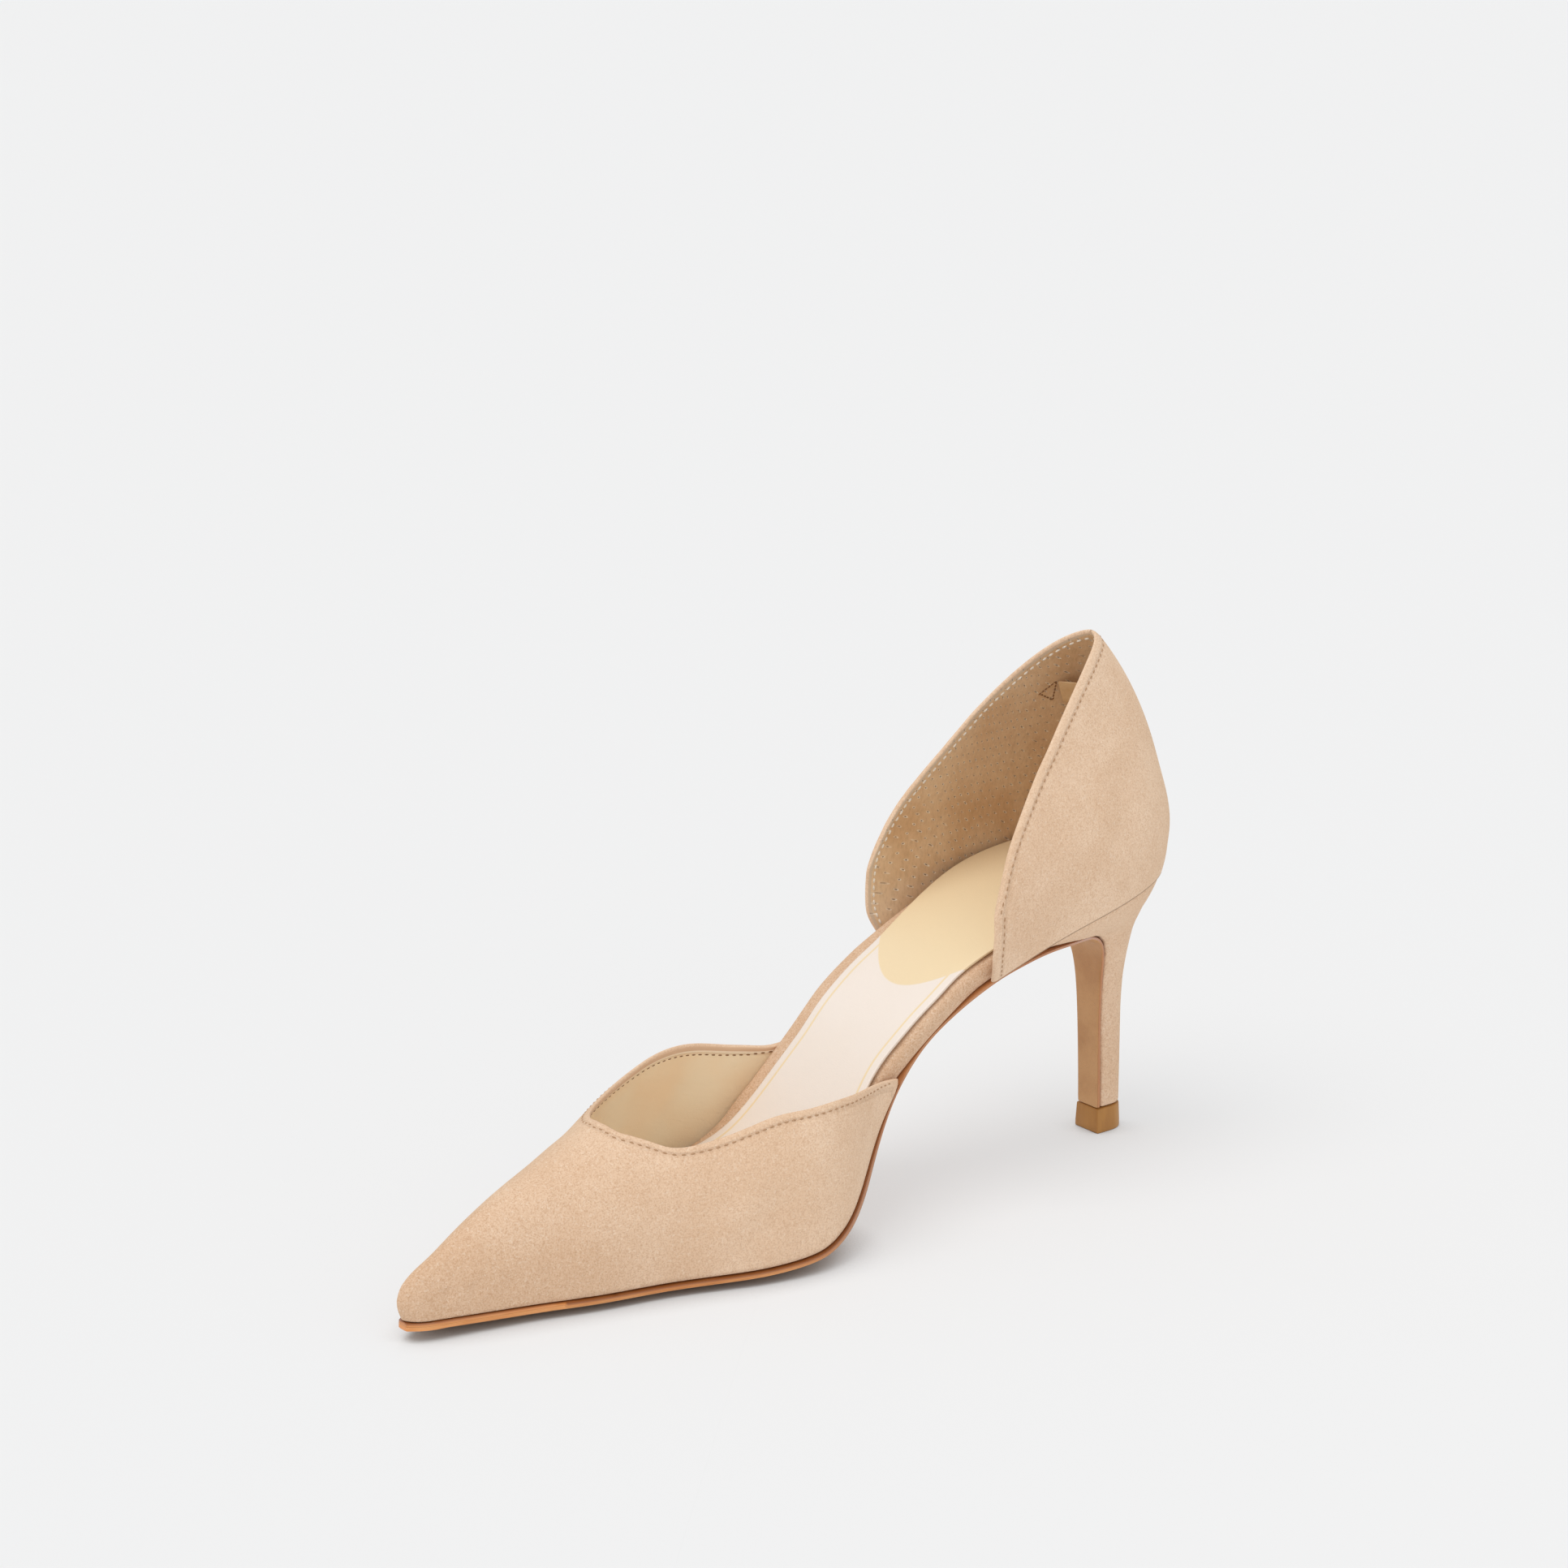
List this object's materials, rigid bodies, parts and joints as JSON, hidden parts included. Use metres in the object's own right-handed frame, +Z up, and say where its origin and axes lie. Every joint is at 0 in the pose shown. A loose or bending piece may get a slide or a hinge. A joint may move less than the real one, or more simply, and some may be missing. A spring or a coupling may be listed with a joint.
{
  "type": "high heel shoe",
  "caption": "Pointed pump with a covered stiletto heel: a closed-toe vamp and a separate heel cup, cut away on both sides at the waist, over a padded insole and a sock lining.",
  "frame": {"origin": "middle of the shoe's box in plan, on the floor it stands on", "axes": "+X to the toe, +Y to the big-toe side, +Z up"},
  "size_m": [0.2436, 0.0718, 0.1395],
  "materials": {
    "vamp_suede": "fine napped suede",
    "quarter_suede": "fine napped suede",
    "heel_suede": "fine napped suede over a moulded block",
    "insole_suede": "fine napped suede over a padded board",
    "sock_leather": "smooth satin",
    "sole_leather": "waxed edge, smooth face",
    "lift_plastic": "satin",
    "strap_leather": "smooth satin"
  },
  "bodies": {
    "root": {"vamp": "vamp_suede", "quarter": "quarter_suede", "heel": "heel_suede", "insole": "insole_suede", "sock_lining": "sock_leather", "outsole": "sole_leather", "top_lift": "lift_plastic", "heel_strap": "strap_leather"}
  },
  "joints": []
}
